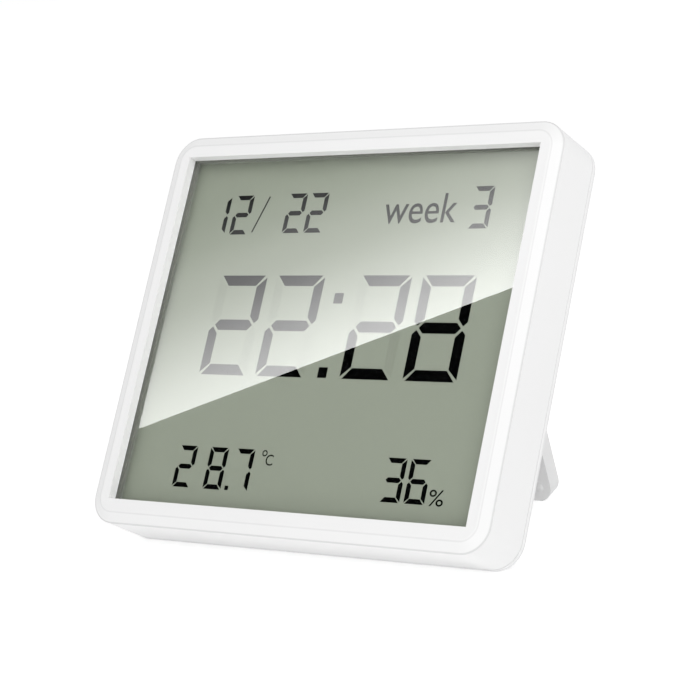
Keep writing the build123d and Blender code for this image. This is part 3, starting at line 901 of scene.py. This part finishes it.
class DISPLAY_OT_words(bpy.types.Operator):
    """Makes the word, the slash and the signs of the units"""

    bl_idname = "desk_display.words"
    bl_label = "Words and signs"

    def execute(self, context):
        values = context.scene.display_values
        (x1, z1), (x2, z2), stroke = SLASH
        slash = new_plate(0, 0, *mm(stroke, math.hypot(x2 - x1, z2 - z1)), INK_DEPTH)
        turn = (0, math.atan2(x2 - x1, z2 - z1), 0)
        settle(slash, mm((x1 + x2) / 2, 0, (z1 + z2) / 2), turn)
        plates = [slash, *[words(*item) for item in LETTERING]]
        mount_crystal("display_words", plates, values, bpy.data.materials["switched_crystal"])
        return {"FINISHED"}


# The cover's screws and signs

SCREW_PLACES = [mm(x * 45.4, 0, z * 39.8) for x in (1, -1) for z in (1, -1)]
SCREW_EDGE = 0.3 * MM
CORE_OVERLAP = 0.2 * MM
# Wings of the cross in a screw's head, and their size at their ends as shares
CROSS_WING = mm(3.0, 1.2, 0.55)
CROSS_END_SHARES = (0.35, 1, 0.7)
# Share of the length that the thread takes, and radius of its ridge as a share of its pitch
THREAD_SHARE = 0.85
RIDGE_SHARE = 0.42
THREAD_GAP = 0.3 * MM
THREAD_STEPS = 16
BUTTON_ROW = 36.7 * MM
BUTTON_PITCH = 14.0 * MM
SIGN_HEIGHT = 41.3 * MM
SIGN_RISE = 0.25 * MM
SIGN_SINK = 0.1 * MM
DOT_RADIUS = 0.75 * MM
DOT_EDGE = 0.06 * MM
ARROW_RADIUS = 1.05 * MM
ARROW_EDGE = 0.04 * MM


def cross_recess(screw, values):
    """Cuts a tapered cross into the top of a screw's head."""
    top = SCREW_SEAT + values.head_height
    end = top - CROSS_WING[1] / 2
    for turn in (0, math.pi / 2):
        wing = new_block((0, top, 0), CROSS_WING)
        select_faces(wing, (0, -1, 0))
        bpy.ops.transform.resize(value=CROSS_END_SHARES, center_override=(0, end, 0))
        settle(wing, turn=(0, turn, 0))
        modify(screw, "BOOLEAN", object=wing, operation="DIFFERENCE", solver="EXACT")
        pick(wing)
        bpy.ops.object.delete()


def screw_thread(values):
    """A closed ridge that winds down the screw's core."""
    pitch = THREAD_SHARE * values.length / values.turns
    radius = pitch * RIDGE_SHARE
    place = (values.core_radius, 0, 0)
    ridge = settle(add("circle", vertices=3, radius=radius), place)
    edit(ridge, action="SELECT")
    stretch = ((values.thread_radius - values.core_radius) / radius, 1, 1)
    bpy.ops.transform.resize(value=stretch, center_override=place)
    bpy.ops.transform.rotate(value=math.pi / 2, orient_axis="X", center_override=place)
    leave_edit()
    steps = {"steps": THREAD_STEPS, "render_steps": THREAD_STEPS}
    modify(ridge, "SCREW", axis="Z", screw_offset=pitch, iterations=values.turns, **steps)
    edit(ridge)
    bpy.ops.mesh.select_non_manifold()
    bpy.ops.mesh.fill()
    leave_edit()
    return outwards(settle(ridge, (0, SCREW_SEAT - THREAD_GAP, 0), FACING))


class DISPLAY_OT_cover_screws(bpy.types.Operator):
    """Makes the four screws of the back cover, with cross recesses and threads"""

    bl_idname = "desk_display.cover_screws"
    bl_label = "Cover screws"

    def execute(self, context):
        values = context.scene.screw_values
        top, tip = SCREW_SEAT + values.head_height, SCREW_SEAT - values.length
        head = new_disc(values.head_radius, 0, 0, SCREW_SEAT, top, sides=40)
        bevel_end(head, (0, 1, 0), SCREW_EDGE, segments=3)
        cross_recess(head, values)
        core = new_disc(values.core_radius, 0, 0, tip, SCREW_SEAT + CORE_OVERLAP, sides=24)
        bevel_end(core, (0, -1, 0), SCREW_EDGE, segments=2)
        screw = join("cover_screws_crossed", [head, core, screw_thread(values)])
        piece = smooth(join("cover_screws_crossed", copies(screw, SCREW_PLACES)))
        mount(piece, "zinc_screw", brushed_metal("zinc_plate"), "cover_screws")
        return {"FINISHED"}


class DISPLAY_OT_button_signs(bpy.types.Operator):
    """Makes the raised signs over the three buttons"""

    bl_idname = "desk_display.button_signs"
    bl_label = "Button signs"

    def execute(self, context):
        span = (CASE_BACK - SIGN_SINK, CASE_BACK + SIGN_RISE)
        signs = [break_edges(new_disc(DOT_RADIUS, -BUTTON_PITCH, SIGN_HEIGHT, *span), DOT_EDGE)]
        for x, turn in ((0, 0), (BUTTON_PITCH, math.pi)):
            arrow = new_disc(ARROW_RADIUS, 0, 0, *span, sides=3)
            settle(arrow, (x, 0, SIGN_HEIGHT), (0, turn, 0))
            signs.append(break_edges(arrow, ARROW_EDGE))
        piece = smooth(join("button_signs", signs))
        mount(piece, "case_white", bpy.data.materials["case_plastic"])
        return {"FINISHED"}


# The board and the cell

CHIP_PLACE = mm(-39.0, 10.0)
CHIP_RADIUS = 6.0 * MM
CHIP_HEIGHT = 1.6 * MM
CHIP_ROUNDNESS = 0.97
LUMP_SIZE = 4 * MM
LUMP_DEPTH = 0.12 * MM
CAPACITOR_PLACE = mm(-39.0, -9.0)
CAPACITOR_PITCH = 2.4 * MM
CAPACITORS = 6
# Offsets start at a fitting's place on the board's back. They and the bends have x outwards.
# The capacitors' metal ends
END_OFFSET = mm(0.62, 0.385, 0)
END_SIZE = mm(0.38, 0.79, 0.84)
END_EDGE = 0.06 * MM
# The crystal's legs
CRYSTAL_PLACE = mm(-39.0, -2.0)
WIRE_OFFSET = mm(0.35, 0.9, -3.4)
WIRE_RADIUS = 0.15 * MM
WIRE_LENGTH = 1.0 * MM
WIRE_BENDS = (mm(0.2, -0.3, -0.5), mm(0.1, -0.45, -0.3), mm(0, 0, -1.0))
# The switches' legs
LEG_OFFSET = mm(3.15, 0.75, 2.25)
LEG_SIZE = mm(0.3, 0.3, 0.8)
LEG_BENDS = (mm(0.3, 0, 0), mm(0.15, -0.72, 0))
# The cell
SEAL_RADIUS = 9.15 * MM
SEAL_THICKNESS = 0.2 * MM
SEAL_DEPTH = 0.26 * MM
SIGN_ARM = mm(3.4, 0.5)
SIGN_LIFT = 0.02 * MM
SIGN_THICKNESS = 0.03 * MM
SIGN_OFFSET = 5.2 * MM


def on_board(place, side, offset, level=1):
    """A point at an offset from a place on the board, on its left where the side is -1."""
    (x, z), (across, back, up) = place, offset
    return (x + side * across, BOARD_BACK + back, z + level * up)


class DISPLAY_OT_chip_resin(bpy.types.Operator):
    """Makes the drop of resin over the controller chip"""

    bl_idname = "desk_display.chip_resin"
    bl_label = "Chip resin"

    def execute(self, context):
        x, z = CHIP_PLACE
        drop = settle(add("uv_sphere", segments=48, ring_count=24, radius=1), turn=FACING)
        edit(drop, action="SELECT")
        below = {"plane_co": (0, 0, 0), "plane_no": (0, -1, 0)}
        bpy.ops.mesh.bisect(**below, clear_outer=True, use_fill=True)
        drop.name = "chip_resin_drop"
        sizes = (CHIP_RADIUS, CHIP_HEIGHT, CHIP_RADIUS * CHIP_ROUNDNESS)
        settle(drop, (x, BOARD_BACK, z), scale=sizes)
        lumps = bpy.data.textures.new("resin_lumps", "CLOUDS")
        lumps.noise_scale = LUMP_SIZE
        modify(drop, "DISPLACE", texture=lumps, strength=LUMP_DEPTH, mid_level=1.0)
        resin = plain_mould("potting_resin", size=1.2 * MM, depth=0.02 * MM)
        mount(smooth(drop), "resin", resin, "controller_chip")
        return {"FINISHED"}


class DISPLAY_OT_board_fittings(bpy.types.Operator):
    """Makes the capacitors' metal ends, the crystal's legs and the switches' legs"""

    bl_idname = "desk_display.board_fittings"
    bl_label = "Board fittings"

    def execute(self, context):
        tin = brushed_metal("tinned_metal")
        mount(smooth(join("capacitor_ends", self.ends())), "nickel", tin)
        mount(smooth(outwards(join("crystal_legs", self.wires()))), "nickel", tin)
        four = join("switch_legs", self.legs())
        made = copies(four, [(i * BUTTON_PITCH, 0, BUTTON_ROW) for i in (-1, 0, 1)])
        mount(join("switch_legs", made), "nickel", tin)
        return {"FINISHED"}

    @staticmethod
    def ends():
        """The metal ends of all capacitors."""
        made = []
        for side in (1, -1):
            end = new_block(on_board(CAPACITOR_PLACE, side, END_OFFSET), END_SIZE)
            break_edges(end, END_EDGE)
            made += copies(end, [(0, 0, -i * CAPACITOR_PITCH) for i in range(CAPACITORS)])
        return made

    @staticmethod
    def wires():
        """The crystal's two legs, bent down to the board."""
        made = []
        for side in (1, -1):
            wire = add("cylinder", vertices=12, radius=WIRE_RADIUS, depth=WIRE_LENGTH)
            settle(wire, on_board(CRYSTAL_PLACE, side, WIRE_OFFSET))
            select_faces(wire, (0, 0, -1))
            extrude(side, WIRE_BENDS)
            made.append(wire)
        return made

    @staticmethod
    def legs():
        """The four legs of a switch at the origin."""
        made = []
        for side in (1, -1):
            for level in (1, -1):
                leg = new_block(on_board((0, 0), side, LEG_OFFSET, level), LEG_SIZE)
                select_faces(leg, (side, 0, 0))
                extrude(side, LEG_BENDS)
                made.append(outwards(leg))
        return made


class DISPLAY_OT_cell_details(bpy.types.Operator):
    """Makes the coin cell's seal and its plus sign"""

    bl_idname = "desk_display.cell_details"
    bl_label = "Cell details"

    def execute(self, context):
        radii = {"major_radius": SEAL_RADIUS, "minor_radius": SEAL_THICKNESS}
        seal = add("torus", major_segments=72, minor_segments=12, **radii)
        seal.name = "cell_seal"
        settle(seal, (0, CELL_FRONT + SEAL_DEPTH, CELL_HEIGHT), FACING)
        mount(smooth(seal), "contact_rubber", plain_mould("seal_nylon"))

        long, short = SIGN_ARM
        depth = CELL_BACK + SIGN_LIFT
        arms = [new_plate(0, CELL_HEIGHT, *size, depth) for size in ((long, short), (short, long))]
        sign = thicken(join("cell_plus_sign", arms), SIGN_THICKNESS)
        mount(settle(sign, (0, 0, SIGN_OFFSET)), "cell_steel", plain_mould("etched_steel"))
        return {"FINISHED"}


# Finishes of the CAD nodes


def dress(material, *names):
    """Gives CAD nodes one material."""
    for name in names:
        slots = NODES[name].data.materials
        slots.clear()
        slots.append(material)


class DISPLAY_OT_finishes(bpy.types.Operator):
    """Gives every CAD node its material"""

    bl_idname = "desk_display.finishes"
    bl_label = "Finishes"

    def execute(self, context):
        colours = context.scene.finish_values
        case, stand = tuple(colours.case_colour), tuple(colours.stand_colour)
        field, mask = tuple(colours.field_colour), tuple(colours.mask_colour)
        buttons = [name for name in NODES if name.endswith("_button")]
        plungers = [name for name in NODES if name.startswith("switch_plunger")]
        # The case's white, with painted shade lines at its crease, seams and back edge
        shell = moulded_plastic("case_plastic", case, 0.42, lines=CASE_SHADE_LINES)
        dress(shell, "front_bezel", "middle_frame", "back_cover")
        # Stand and door take the greyer white that paints the stand's shade
        dress(moulded_plastic("stand_plastic", stand, 0.5, **COARSE_SPARK), "stand")
        dress(moulded_plastic("door_plastic", stand, 0.5, **COARSE_SPARK), "battery_door")
        dress(moulded_plastic("button_plastic", case, 0.34, **FINE_SPARK), *buttons)
        dress(moulded_plastic("holder_plastic", tint(stand, 0.95), 0.55), "lcd_holder")
        dress(clear_pane("clear_acrylic"), "window_pane")
        dress(foam("dark_foam"), "lcd_gasket")
        film = see_through("polariser_film", (0.985, 0.99, 0.975), body=(0.5, 0.53, 0.47))
        dress(film, "lcd_front_polariser")
        glass = see_through("thin_glass", (0.99, 0.995, 0.985), body=(0.6, 0.66, 0.6))
        dress(glass, "lcd_front_glass")
        dress(display_field("display_field", field), "lcd_rear_glass")
        dress(display_field("reflector_film", tint(field, 1.1)), "lcd_reflector")
        dress(striped_rubber("striped_rubber"), "zebra_strip")
        dress(solder_mask("solder_mask", mask), "main_board")
        dress(brushed_metal("nickel_can"), "clock_crystal")
        dress(brushed_metal("contact_nickel"), "cell_contact_negative", "cell_contact_positive")
        dress(brushed_metal("cell_can", ring=(0.0, CELL_HEIGHT)), "coin_cell")
        dress(brushed_metal("screw_steel"), "cover_screws")
        dress(plain_mould("ceramic"), "chip_capacitors")
        dress(plain_mould("sensor_package"), "humidity_sensor")
        dress(plain_mould("plain_resin"), "controller_chip")
        dress(plain_mould("switch_nylon"), "tact_switches")
        dress(plain_mould("plunger_acetal", change=0.05), *plungers)
        return {"FINISHED"}


# The stage

# Light of the card by distance from the glare's edge, as shares of the reach and the brightest
GLARE_REACH = 58 * MM
GLARE_STOPS = (
    *((0.0, 1.0), (0.1, 0.84), (0.21, 0.63), (0.345, 0.405), (0.43, 0.285)),
    *((0.52, 0.22), (0.64, 0.1), (0.78, 0.02), (0.9, 0.001), (1.0, 0.0)),
)
# Growth of the glare towards its right end, over its reach
GLARE_SLOPE = 0.17
GLARE_EDGE = (mm(-47.4, -23.2), mm(42.0, 10.25))
CARD_DISTANCE = 0.6
CARD_SIDE = 2.4
# Clear faces that light may pass on its way to the display and back
CLEAR_FACES = 24
# Name, place, side and power of each lamp
LAMPS = (
    ("high_right", (0.4, -0.25, 0.46), 0.34, 1.2),
    ("low_front", (0.0, -0.9, 0.1), 0.6, 1.4),
)
LAMP_TARGET = Vector((0, 0, 0.04))
FLOOR_COLOURS = ((0.80, 0.80, 0.80), (0.82, 0.82, 0.82))
FLOOR_MOTTLE = 0.5
# Light that the white table gives off by itself, to all, and more to what looks at it
TABLE_GLOW = 0.26
TABLE_LIFT = 0.23
WORLD_LIGHT = 0.65


def camera_matrix(values):
    """The camera's place and directions."""
    turn = (
        Matrix.Rotation(values.azimuth, 3, "Z")
        @ Matrix.Rotation(math.pi / 2 - values.elevation, 3, "X")
        @ Matrix.Rotation(values.roll, 3, "Z")
    )
    place = Vector(values.aim) + turn @ Vector((0, 0, values.distance))
    return Matrix.Translation(place) @ turn.to_4x4()


def reflected(eye, x, z):
    """Where the sight of a point of the display leaves the pane, and its direction from there."""
    point = LEANING @ Vector((x, INK_DEPTH, z))
    normal = -BACKWARDS
    on_pane = LEANING @ Vector((0, PANE_FRONT, 0))
    ray = (point - eye).normalized()
    start = eye + ray * ((on_pane - eye).dot(normal) / ray.dot(normal))
    return start, ray - 2 * ray.dot(normal) * normal


def card_material(name, length, strength):
    """Light that fades away from the card's edge, black beyond it. Only sharp mirrors see it."""
    finish = Finish(name)
    along, height, _ = finish.split(finish.place())
    along = (along / length).clamped(low=-1.0)
    ramp = finish.node("ValToRGB", {"Fac": height / length}, stops=GLARE_STOPS)
    strength = (height > 0.0) * (along * (GLARE_SLOPE * strength) + strength)
    light = finish.node("Emission", {"Color": ramp, "Strength": strength})
    mirrored = finish.node("LightPath", output="Is Singular Ray")
    return finish.blended(mirrored, finish.clear(WHITE), light)


class DISPLAY_OT_stage(bpy.types.Operator):
    """Makes the floor, the lights, the world and the camera"""

    bl_idname = "desk_display.stage"
    bl_label = "Stage"

    def execute(self, context):
        values = context.scene.stage_values
        self.make_camera(context, values)
        self.make_floor(values)
        self.make_lights()
        self.make_card(values)
        self.make_world(context)
        context.scene.view_settings.view_transform = "Standard"
        context.scene.cycles.transparent_max_bounces = CLEAR_FACES
        return {"FINISHED"}

    @staticmethod
    def make_camera(context, values):
        """A camera where the photograph was taken from."""
        deselect()
        bpy.ops.object.camera_add()
        camera = bpy.context.object
        camera.matrix_world = camera_matrix(values)
        camera.data.lens = values.lens
        camera.data.sensor_width = 36.0
        camera.data.clip_start = 0.01
        context.scene.camera = camera

    @staticmethod
    def make_floor(values):
        """A plain white floor that keeps a soft shadow."""
        floor = add("plane", size=values.floor_size)
        floor.name = "floor"
        finish = Finish("floor_paint")
        mottle = finish.shade(finish.noise(FLOOR_MOTTLE), *FLOOR_COLOURS)
        paint = finish.node("BsdfDiffuse", {"Color": mottle})
        strength = finish.seen() * TABLE_LIFT + TABLE_GLOW
        glow = finish.node("Emission", {"Color": WHITE, "Strength": strength})
        floor.data.materials.append(finish.surface(finish.node("AddShader", {0: paint, 1: glow})))

    @staticmethod
    def make_lights():
        """Large soft lamps round the object."""
        for name, place, size, power in LAMPS:
            deselect()
            bpy.ops.object.light_add(type="AREA", location=place)
            lamp = bpy.context.object
            lamp.name = name
            lamp.data.size = size
            lamp.data.energy = power
            lamp.rotation_euler = (LAMP_TARGET - Vector(place)).to_track_quat("-Z", "Y").to_euler()

    @staticmethod
    def make_card(values):
        """A card that only the pane mirrors: the glare across the display, black beside it."""
        eye = camera_matrix(values).translation
        (x1, z1), (x2, z2) = GLARE_EDGE
        across = Vector((x2 - x1, z2 - z1)).normalized()
        middle = Vector(((x1 + x2) / 2, (z1 + z2) / 2))
        far = middle + GLARE_REACH * Vector((-across.y, across.x))
        start, direction = reflected(eye, *middle)
        centre = start + CARD_DISTANCE * direction
        hits = []
        for x, z in (*GLARE_EDGE, far):
            start, ray = reflected(eye, x, z)
            hits.append(start + ray * ((centre - start).dot(direction) / ray.dot(direction)))
        along = (hits[1] - hits[0]).normalized()
        upwards = (hits[2] - centre) - (hits[2] - centre).dot(along) * along
        reach = upwards.length
        upwards.normalize()
        card = add("plane", size=CARD_SIDE)
        card.name = "glare_card"
        turn = Matrix((along, upwards, along.cross(upwards))).transposed().to_4x4()
        card.matrix_world = Matrix.Translation(centre) @ turn
        card.data.materials.append(card_material("glare_light", reach, values.glare_strength))
        for kind in ("camera", "diffuse", "transmission", "shadow", "volume_scatter"):
            setattr(card, "visible_" + kind, False)
        group = bpy.data.collections.new("mirrors_the_card")
        group.objects.link(NODES["window_pane"])
        card.light_linking.receiver_collection = group

    @staticmethod
    def make_world(context):
        """Even light all round, white where the camera or a mirror sees it."""
        world = bpy.data.worlds.new("soft_white")
        context.scene.world = world
        finish = Finish("soft_white", world)
        strength = finish.seen() * (1 - WORLD_LIGHT) + WORLD_LIGHT
        light = finish.node("Background", {"Color": WHITE, "Strength": strength})
        finish.surface(light, kind="World")


class DISPLAY_PT_panel(bpy.types.Panel):
    """Lists the makers of the desk display"""

    bl_idname = "DISPLAY_PT_panel"
    bl_label = "Desk display"
    bl_space_type = "VIEW_3D"
    bl_region_type = "UI"
    bl_category = "Desk display"

    def draw(self, context):
        for name in GROUPS:
            values = getattr(context.scene, name)
            box = self.layout.box()
            for key in values.__annotations__:
                box.prop(values, key)
        for maker in MAKERS:
            self.layout.operator(maker.bl_idname)


GROUPS = {
    "display_values": DisplayValues,
    "finish_values": FinishValues,
    "screw_values": ScrewValues,
    "stage_values": StageValues,
}
MAKERS = (
    DISPLAY_OT_finishes,
    DISPLAY_OT_crystal_layer,
    DISPLAY_OT_large_digits,
    DISPLAY_OT_idle_digits,
    DISPLAY_OT_small_digits,
    DISPLAY_OT_words,
    DISPLAY_OT_cover_screws,
    DISPLAY_OT_button_signs,
    DISPLAY_OT_chip_resin,
    DISPLAY_OT_board_fittings,
    DISPLAY_OT_cell_details,
    DISPLAY_OT_stage,
)
CLASSES = (*GROUPS.values(), *MAKERS, DISPLAY_PT_panel)


def register():
    """Makes the classes known and puts their values on the scene."""
    for cls in CLASSES:
        bpy.utils.register_class(cls)
    for name, group in GROUPS.items():
        setattr(bpy.types.Scene, name, PointerProperty(type=group))


def unregister():
    """Takes the classes and their values away again."""
    for name in GROUPS:
        delattr(bpy.types.Scene, name)
    for cls in reversed(CLASSES):
        bpy.utils.unregister_class(cls)


def main():
    """Makes every piece and the stage."""
    register()
    for maker in MAKERS:
        group, name = maker.bl_idname.split(".")
        getattr(getattr(bpy.ops, group), name)()
    deselect()


if __name__ == "__main__":
    main()
